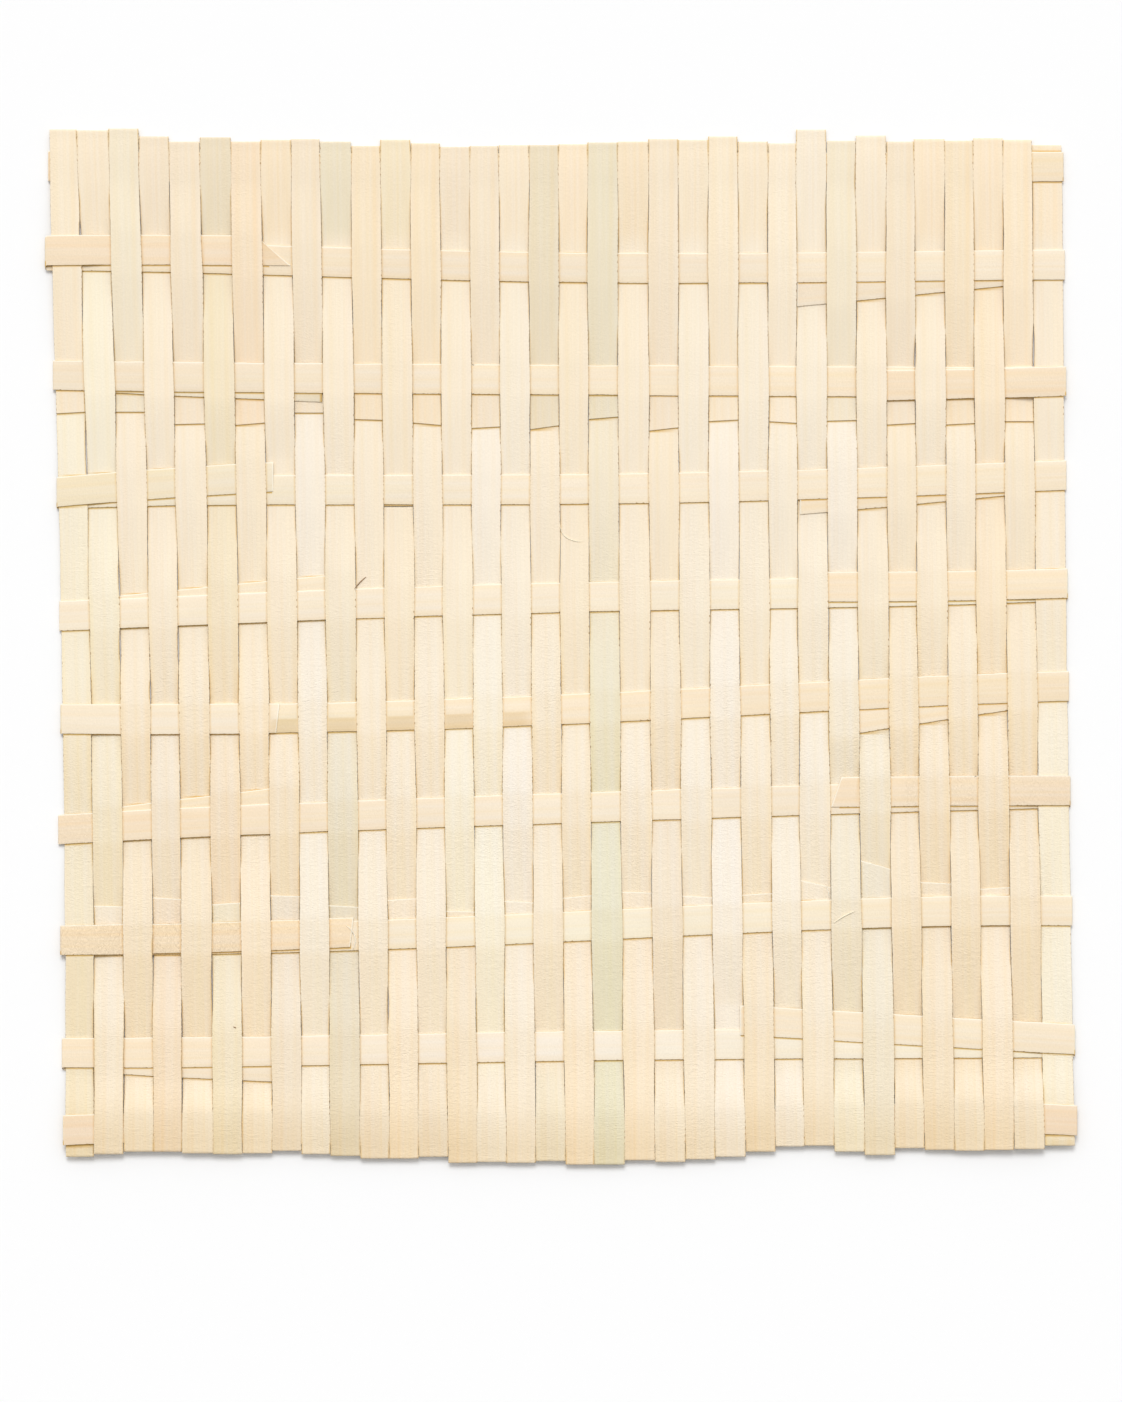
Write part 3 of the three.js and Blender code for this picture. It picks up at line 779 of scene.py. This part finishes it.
# The leaf's patterns: repeats in a metre across and along it, detail and distortion.
PATTERNS = {
    "veins": (1250, 11, 2, 0),
    "streaks": (300, 4, 3, 0),
    "hues": (75, 6, 2, 0),
    "patches": (60, 16, 3, 0),
    "grain": (900, 900, 3, 0),
    "wrinkles": (260, 760, 3, 1.6),
    "leather": (560, 820, 2, 1.0),
    "frayed": (0, 560, 3, 0),
    "ragged": (40, 17, 1, 0),
}
# painted warm shade near a strip's edges
EDGE_SHADE_TINT = (1.0, 0.92, 0.72)
WARM_SHADE = (0.83, 0.64, 0.30)
# painted highlight along the edges
EDGE_HIGHLIGHT = (0.95, 0.86, 0.68)
FRAYED_BROWN = (0.42, 0.24, 0.08)
# painted highlight on cut ends
CUT_HIGHLIGHT = (0.96, 0.90, 0.76)


def leaf_material(name):
    """Matte dried leaf: fine veins and streaks along it, faint wrinkles across it, brown frayed edges, with
    painted warm shade near its edges and where leaf lies on it, and painted highlights along its edges and
    cut ends.
    """
    if name in bpy.data.materials:
        return bpy.data.materials[name]
    material, nodes, links, shader = plain_material(name, 0.66)
    shader.inputs["Specular IOR Level"].default_value = 0.2
    uv = nodes.new("ShaderNodeUVMap")
    uv.uv_map = "leaf"

    def attribute(name, output="Fac"):
        made = nodes.new("ShaderNodeAttribute")
        made.attribute_name = name
        return made.outputs[output]

    def pattern(kind):
        across, along, detail, distortion = PATTERNS[kind]
        place = nodes.new("ShaderNodeMapping")
        place.inputs["Scale"].default_value = (across, along, 1)
        links.new(uv.outputs["UV"], place.inputs["Vector"])
        made = nodes.new("ShaderNodeTexNoise")
        made.inputs["Scale"].default_value = 1
        made.inputs["Detail"].default_value = detail
        made.inputs["Distortion"].default_value = distortion
        links.new(place.outputs["Vector"], made.inputs["Vector"])
        return made.outputs["Fac"]

    def spanned(value, low, high, to_low, to_high):
        made = nodes.new("ShaderNodeMapRange")
        for key, number in zip(("From Min", "From Max", "To Min", "To Max"), (low, high, to_low, to_high)):
            made.inputs[key].default_value = number
        links.new(value, made.inputs["Value"])
        return made.outputs["Result"]

    def reckon(operation, a, b):
        made = nodes.new("ShaderNodeMath")
        made.operation = operation
        for socket, value in zip(made.inputs, (a, b)):
            if isinstance(value, (int, float)):
                socket.default_value = value
            else:
                links.new(value, socket)
        return made.outputs[0]

    def tinted(share, base, color, blend_type="MIX"):
        made = nodes.new("ShaderNodeMix")
        made.data_type = "RGBA"
        made.blend_type = blend_type
        links.new(share, made.inputs["Factor"])
        links.new(base, made.inputs["A"])
        made.inputs["B"].default_value = (*color, 1)
        return made.outputs["Result"]

    # The strip's own tint, uneven along the veins.
    veins = pattern("veins")
    grain = pattern("grain")
    tone = nodes.new("ShaderNodeHueSaturation")
    links.new(attribute("tint", "Color"), tone.inputs["Color"])
    links.new(spanned(pattern("streaks"), 0.3, 0.7, 0.86, 1.16), tone.inputs["Saturation"])
    links.new(spanned(pattern("hues"), 0.3, 0.7, 0.496, 0.504), tone.inputs["Hue"])
    veined = spanned(veins, 0.25, 0.75, 0.982, 1.012)
    light = reckon("MULTIPLY", veined, spanned(pattern("patches"), 0.3, 0.7, 0.978, 1.018))
    links.new(reckon("MULTIPLY", light, spanned(grain, 0.3, 0.7, 0.972, 1.024)), tone.inputs["Value"])

    # Painted warm shade near the strip's edges and beside what lies on it or laps it, then painted
    # highlights along its rims, its brown frayed sides, and painted highlights on its cut ends, all by
    # distances in mm.
    edge = attribute("edge")
    # painted warm shade, up to 1.8 mm in from the edges
    edge_shaded = tinted(spanned(edge, 1.8, 0.0, 0, 0.15), tone.outputs["Color"], EDGE_SHADE_TINT, "MULTIPLY")
    lap = attribute("lap")
    lapped = reckon("MULTIPLY", spanned(lap, -3, -2, 0, 1), spanned(lap, LAP_REACH / 2, LAP_REACH, 1, 0))
    contact = reckon("MAXIMUM", lapped, spanned(attribute("shade"), 0.0, 0.6, 0, 1))
    shaded = tinted(contact, edge_shaded, WARM_SHADE, "MULTIPLY")
    # painted highlight within half a millimetre of the edges
    edge_highlit = tinted(spanned(edge, 0.5, 0.1, 0, 0.3), shaded, EDGE_HIGHLIGHT)
    ragged = spanned(pattern("ragged"), 0.45, 0.68, 0.9, 3.2)
    frayed = reckon("MULTIPLY", reckon("SUBTRACT", pattern("frayed"), 0.5), ragged)
    # the leaf's own brown frayed sides, browner where painted shade darkens a parted slit
    browned = spanned(reckon("SUBTRACT", edge, frayed), 0.12, -0.1, 0, 0.8)
    sides = tinted(browned, edge_highlit, FRAYED_BROWN)
    # painted highlight on the cut ends, and along the upper side of a crossing strip
    highlit_ends = tinted(spanned(attribute("end"), 0.8, 0.3, 0, 0.8), sides, CUT_HIGHLIGHT)
    links.new(highlit_ends, shader.inputs["Base Color"])

    # Fine relief: wrinkles where the strip has them, veins and grain all over.
    rough = reckon("ADD", pattern("wrinkles"), reckon("MULTIPLY", pattern("leather"), 0.6))
    creped = reckon("MULTIPLY", rough, attribute("wrinkle"))
    relief = reckon("ADD", creped, reckon("MULTIPLY", veins, 0.15))
    bump = nodes.new("ShaderNodeBump")
    bump.inputs["Strength"].default_value = 0.5
    bump.inputs["Distance"].default_value = 0.0007
    links.new(reckon("ADD", relief, reckon("MULTIPLY", grain, 0.2)), bump.inputs["Height"])
    links.new(bump.outputs["Normal"], shader.inputs["Normal"])
    return material


WRINKLED = 0.25  # at the top of the rug, and how much more lower down and in patches
WRINKLED_LOWER = 0.75
WRINKLED_PATCHY = 0.7
WRINKLE_PATCH = (18, 70, 2)
WRINKLES_FROM = 150
WRINKLES_GROW = 250


def long_wrinkles(place):
    """Wrinkles across the leaf are stronger in the lower half of the rug, and come and go."""
    lower = ease((WRINKLES_FROM - place.y) / WRINKLES_GROW)
    patchy = WRINKLED_PATCHY * patches(place, WRINKLE_PATCH)
    return max(0, WRINKLED + WRINKLED_LOWER * lower + patchy)


for column, strip in enumerate(LONG):
    rows = []
    for y, (left_z, right_z), tint, to_cut, cover in long_stations(column):
        left_x, right_x = leaf_sides(column, y)
        slant = strip["slant"] / 2 * max(0, 1 - to_cut / SLANT_REACH)
        left = Vector((left_x, y + slant, left_z))
        right = Vector((right_x, y - slant, right_z))
        apart = [min(parted(line, y) * PARTED_SHADE, 1) for line in (column, column + 1)]
        beside = [max(pair) for pair in zip(apart, overshadowed(column, y, (left_z, right_z)))]
        # the sides of a parted slit are painted browner, as shade
        painted_shade = [SLIT_SHADE_SIDE * share for share in apart]
        rows.append((left, right, tint, to_cut, 0, 0, beside, cover, None, painted_shade))
    piece = leaf_piece(f"long_leaf_{column + 1:02d}", rows, strip["finish"], long_wrinkles, CROWN, False)
    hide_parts(f"long_strip_{column + 1:02d}")


# Crossing strips
# Ten strips of the same leaf cross the others about 65 mm apart. Each end is folded back round the
# outermost long strip and runs back along the strip itself, most of them drifted a little off it, to a cut
# end. The sixth strip has a lengthwise crease where it was bent in the hand.
CROSS_CROWN = 0.3
CROSS_SLANT_REACH = 18
TUCK_MARGIN = 0.8
STIFFNESS = (-9, -4.5, 0, 4.5, 9)  # a crossing strip's height is the mean at these distances along it
EASED_END = 12  # but not near its folds
SWELL = 0.25  # the half width varies
SWELL_WAVE = (5.7, 30, 1)
CROSS_FRAY = 0.14
CROSS_FRAY_WAVE = (5.7, 4, 3)
TINTED_HALF = 230  # the tints of the strip itself reach from this far left to this far right
# share of the painted contact shade beside the long strips that cover a crossing strip
SIDE_CONTACT = 0.3
DARK_CUT = ("C", "left")  # this cut end is painted in shade and gets no painted highlight
# how far from the cut that painted shade reaches, in mm
DARK_CUT_REACH = 1.6
CREASES = {"F": (-176, -12, 0.7)}
CREASE_FADE = 12
CREASE_PRESSED = 3  # a strip on top presses it flat
LEATHER = 0.3  # the grain all over, and as much again in patches
LEATHER_PATCH = (40, 20, 4)
# Places where the leaf is grained like leather: left, right, low, high and how strongly.
LEATHERY = (
    (-300, -180, -185, -155, 2.2),
    (-180, -120, -185, -155, 0.8),
    (200, 300, -100, -75, 1.0),
    (-300, -255, -125, -90, 0.8),
)


def covers_of(row, layer, side=0):
    """Places between which a layer of a crossing strip is covered, at its upper and its lower side."""
    covers = []
    for column in range(len(LONG)):
        covered = any(name.startswith("long") for name in lying_on(layer, row, column))
        if covered and (not side or tail_side(row, column) == side):
            middle = middle_y(row, line_x(column, 0))
            covers.append([leaf_sides(column, middle + half) for half in (HALF_CROSS, -HALF_CROSS)])
    return covers


def cross_stations(row):
    """(upper and lower x, z, drift, distance to the cut end, whether it is a tail, shade of its covers)."""
    # Straight from each fold to the second line in, and from there from line to line.
    knots = [(fold_x(row, -1), height_at(row, 0, 0))]
    knots += [(on_line(row, line), height_at(row, line, 0)) for line in range(2, LAST_LONG)]
    knots += [(fold_x(row, 1), height_at(row, len(LONG), 0))]

    def straight(x):
        for (a, low), (b, high) in zip(knots, knots[1:]):
            if x <= b:
                return low + (high - low) * min(max((x - a) / (b - a), 0), 1)
        return knots[-1][1]

    def body(x):
        return sum(straight(x + shift) for shift in STIFFNESS) / len(STIFFNESS)

    def end(side):
        tail = tail_of(row, side)
        edge_column, edge_line = (0, 0) if side < 0 else (LAST_LONG, len(LONG))
        fold = fold_x(row, side)
        start = height_at(row, edge_line, 0)
        stop = height_at(row, edge_line, level_at(row, edge_column, "cross_tail", edge_line))
        clear = on_line(row, edge_line - side) - side * TUCK_MARGIN
        tucked = on_line(row, edge_line - 2 * side) + side * TUCK_MARGIN
        level = LAYER if tail_on_face(row, side) else -LAYER
        covers = covers_of(row, "cross_tail", side)
        made = []
        for x in with_contacts(from_cut(tail["cut"], fold), covers):
            if (x - clear) * side >= 0:
                z = stop
            elif (x - tucked) * side > 0:
                share = ease((x - clear) / (tucked - clear))
                z = stop + (body(tucked) + level - stop) * share
            else:
                z = body(x) + level
            to_cut = abs(x - tail["cut"])
            slant = tail["slant"] / 2 * max(0, 1 - to_cut / CROSS_SLANT_REACH)
            corners = (x + slant, x - slant)
            shade = [SIDE_CONTACT * contact_shade(corner, covers, k) for k, corner in enumerate(corners)]
            made.append((corners, z, drift_at(row, side, x), to_cut, True, shade))
        drift = tail["drift"]
        reach = abs(stop - start) / 2
        for k, (past, z) in enumerate(fold_steps(stop, start)):
            x = fold + side * reach * past
            made.append(((x, x), z, drift * (1 - (k + 1) / FOLD_STEPS), FAR, False, (0, 0)))
        return made

    middle = []
    covers = covers_of(row, "cross")
    for x in with_contacts(spread(knots[0][0], knots[-1][0], STEP), covers):
        inner = min(ease((x - knots[0][0]) / EASED_END), ease((knots[-1][0] - x) / EASED_END))
        shade = [SIDE_CONTACT * contact_shade(x, covers, corner) for corner in (0, 1)]
        middle.append(((x, x), straight(x) + (body(x) - straight(x)) * inner, 0, FAR, False, shade))
    return end(-1) + middle + end(1)[::-1]


def lap_at(row, x, in_tail):
    """Height of the lower edge of the layer that lies on this one lengthwise, or None."""
    strip = CROSS[row]
    side = -1 if x < strip["left"]["cut"] else 1 if x > strip["right"]["cut"] else 0
    if not side or tail_on_face(row, side) == in_tail:
        return None
    return middle_y(row, x) - HALF_CROSS + (0 if in_tail else drift_at(row, side, x))


def cross_wrinkles(place):
    """The grain of a crossing strip, strong in the leathery places."""
    leathery = LEATHER + LEATHER * patches(place, LEATHER_PATCH)
    for left, right, low, high, strong in LEATHERY:
        if left < place.x < right and low < place.y < high:
            leathery += strong
    return max(0, leathery)


def uneven_row(wave, row, x, aside=0):
    """Smooth unevenness along a crossing strip, from -1 to 1."""
    step, length, layer = wave
    return noise.noise(Vector((x / length, row * step + aside, layer)))


for row, strip in enumerate(CROSS):
    tints = [TINTS[name] for name in strip["tints"]]
    rows = []
    covers = covers_of(row, "cross")
    for (upper_x, lower_x), z, drift, to_cut, in_tail, cover in cross_stations(row):
        x = (upper_x + lower_x) / 2
        middle = middle_y(row, x) + drift
        half = HALF_CROSS + SWELL * uneven_row(SWELL_WAVE, row, x)
        fray = [CROSS_FRAY * uneven_row(CROSS_FRAY_WAVE, row, x, k) for k in (0, 1)]
        place = min(max((x + TINTED_HALF) / (2 * TINTED_HALF), 0), 1) * 2
        tint = blend(tints[1], tints[2], place) if place < 1 else blend(tints[2], tints[3], place - 1)
        if in_tail:
            side = "left" if x < 0 else "right"
            tint = tints[0] if x < 0 else tints[4]
            if (strip["name"], side) in CUT_TINTS:
                name, reach = CUT_TINTS[strip["name"], side]
                tint = blend(TINTS[name], tint, ease(to_cut / reach))
            # painted shade at this cut end, and no painted highlight on it
            if (strip["name"], side) == DARK_CUT:
                cover = [max(share, 1 - to_cut / DARK_CUT_REACH) for share in cover]
                to_cut += UNLIT_CUT
        crease = creased = 0
        if strip["name"] in CREASES:
            start, stop, rise = CREASES[strip["name"]]
            creased = ease((x - start) / CREASE_FADE) * ease((stop - x) / CREASE_FADE)
            crease = rise * creased * ease(gap_to(x, covers, 0) / CREASE_PRESSED)
        left = Vector((upper_x, middle + half + fray[0], z))
        right = Vector((lower_x, middle - half + fray[1], z))
        lap = lap_at(row, x, in_tail)
        rows.append((left, right, tint, to_cut, crease, creased, (0, 0), cover, lap, (0, 0)))
    name = strip["name"]
    piece = leaf_piece(f"cross_leaf_{name}", rows, strip["finish"], cross_wrinkles, CROSS_CROWN, True)
    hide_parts(f"cross_strip_{name}")


# Loose fibres
# Six thin slivers have split off the edges of strips and lie loose on the face. Each is a stiff hair of
# leaf, thickest in the middle, curved as it dried.
FIBRE_SIDES = 6
FIBRE_STEPS = 20
FIBRE_REACH = 0.7  # it rests on whatever is this near to its middle line
FIBRE_COLUMNS = ("start", "middle", "end", "radius", "tint")
FIBRE_ROWS = (
    ((-119.8, 33.2), (-116.5, 37.2), (-112.7, 40.6), 0.3, "bark"),
    ((-0.6, 71.0), (2.9, 63.5), (12.8, 60.6), 0.26, "pale"),
    ((157.8, -160.4), (164.0, -156.2), (170.8, -153.2), 0.34, "pale"),
    ((-125.3, -161.0), (-119.4, -168.6), (-121.8, -177.2), 0.3, "ivory"),
    ((153.7, -138.6), (155.0, -142.6), (155.6, -146.4), 0.3, "ivory"),
    ((-189.9, -220.2), (-189.0, -220.7), (-188.2, -220.9), 0.3, "bark"),
)
FIBRE_TINTS = {"bark": (0.30, 0.17, 0.08), "pale": (0.93, 0.86, 0.68), "ivory": (0.93, 0.87, 0.74)}


def surface_of(pieces):
    """Height of the uppermost face near a place, among the pieces."""
    depsgraph = bpy.context.evaluated_depsgraph_get()
    trees = [BVHTree.FromObject(piece, depsgraph) for piece in pieces]

    def height(x, y):
        above = [Vector(((x + aside) * MM, y * MM, 1)) for aside in (-FIBRE_REACH, 0, FIBRE_REACH)]
        hits = [tree.ray_cast(origin, Vector((0, 0, -1)))[0] for tree in trees for origin in above]
        return max(hit.z for hit in hits if hit is not None) / MM

    return height


def fibre_material():
    material, nodes, links, shader = plain_material("dried_fibre", 0.6)
    tint = nodes.new("ShaderNodeAttribute")
    tint.attribute_name = "tint"
    links.new(tint.outputs["Color"], shader.inputs["Base Color"])
    return material


face_height = surface_of([piece for piece in bpy.data.objects if "_leaf_" in piece.name])
fibres = bmesh.new()
fibre_tint = fibres.verts.layers.float_color.new("tint")
for values in FIBRE_ROWS:
    fibre = dict(zip(FIBRE_COLUMNS, values))
    start, middle, end = (Vector(fibre[key]) for key in ("start", "middle", "end"))
    bend = 2 * middle - (start + end) / 2
    grid = bmesh.ops.create_grid(fibres, x_segments=FIBRE_SIDES, y_segments=FIBRE_STEPS, size=0.5)["verts"]
    for vert in grid:
        turn = (vert.co.x + 0.5) * 2 * math.pi
        share = vert.co.y + 0.5
        place = start * (1 - share) ** 2 + bend * 2 * share * (1 - share) + end * share ** 2
        along = ((bend - start) * (1 - share) + (end - bend) * share).normalized()
        radius = fibre["radius"] * math.sin(math.pi * share) ** 0.5
        out = radius * math.cos(turn)
        lifted = face_height(place.x, place.y) + fibre["radius"] + AIR + radius * math.sin(turn)
        vert.co = Vector((place.x - along.y * out, place.y + along.x * out, lifted)) * MM
        vert[fibre_tint] = (*FIBRE_TINTS[fibre["tint"]], 1)
bmesh.ops.remove_doubles(fibres, verts=fibres.verts, dist=0.000001)
bmesh.ops.recalc_face_normals(fibres, faces=fibres.faces)
for face in fibres.faces:
    face.smooth = True
loose = mesh_object("loose_fibres", fibres)
loose.data.materials.append(fibre_material())
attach(loose, "root")


# Surface, light and camera
# The rug lies on a plain white floor. A broad soft light stands beyond its top edge, so that a faint shadow
# falls below it, and the camera looks straight down.
FLOOR_SIZE = 40
FLOOR_DROP = 0.0002


def floor_piece():
    bm = bmesh.new()
    bmesh.ops.create_grid(bm, x_segments=1, y_segments=1, size=FLOOR_SIZE)
    made = mesh_object("floor", bm)
    made.location.z = -FLOOR_DROP
    material, _, _, shader = plain_material("floor_white", 0.9)
    shader.inputs["Base Color"].default_value = (0.925, 0.925, 0.925, 1)
    shader.inputs["Specular IOR Level"].default_value = 0.1
    made.data.materials.append(material)
    return made


floor_piece()

for name, energy, angle, towards in (
    ("window", 1.65, 26, (-0.05, 0.72, 1.0)),
    ("ceiling", 1.3, 130, (0.0, 1.0, 1.0)),
):
    lamp = bpy.data.lights.new(name, "SUN")
    lamp.energy = energy
    lamp.angle = math.radians(angle)
    light = placed_object(name, lamp)
    light.rotation_euler = Vector(towards).to_track_quat("Z", "Y").to_euler()

world = bpy.data.worlds.new("studio")
world.use_nodes = True
world.node_tree.nodes["Background"].inputs["Color"].default_value = (1, 1, 1, 1)
world.node_tree.nodes["Background"].inputs["Strength"].default_value = 0.345
bpy.context.scene.world = world

PIXEL = 0.00058  # metres on the rug
IMAGE_HEIGHT = 1402
RUG_ABOVE_CENTRE = 54.5  # pixels
CAMERA_HEIGHT = 4.0
lens = bpy.data.cameras.new("overhead")
lens.sensor_width = 36
lens.lens = lens.sensor_width * CAMERA_HEIGHT / (PIXEL * IMAGE_HEIGHT)
camera = placed_object("overhead", lens)
camera.location = (0, -RUG_ABOVE_CENTRE * PIXEL, CAMERA_HEIGHT)
bpy.context.scene.camera = camera
bpy.context.scene.view_settings.view_transform = "Standard"
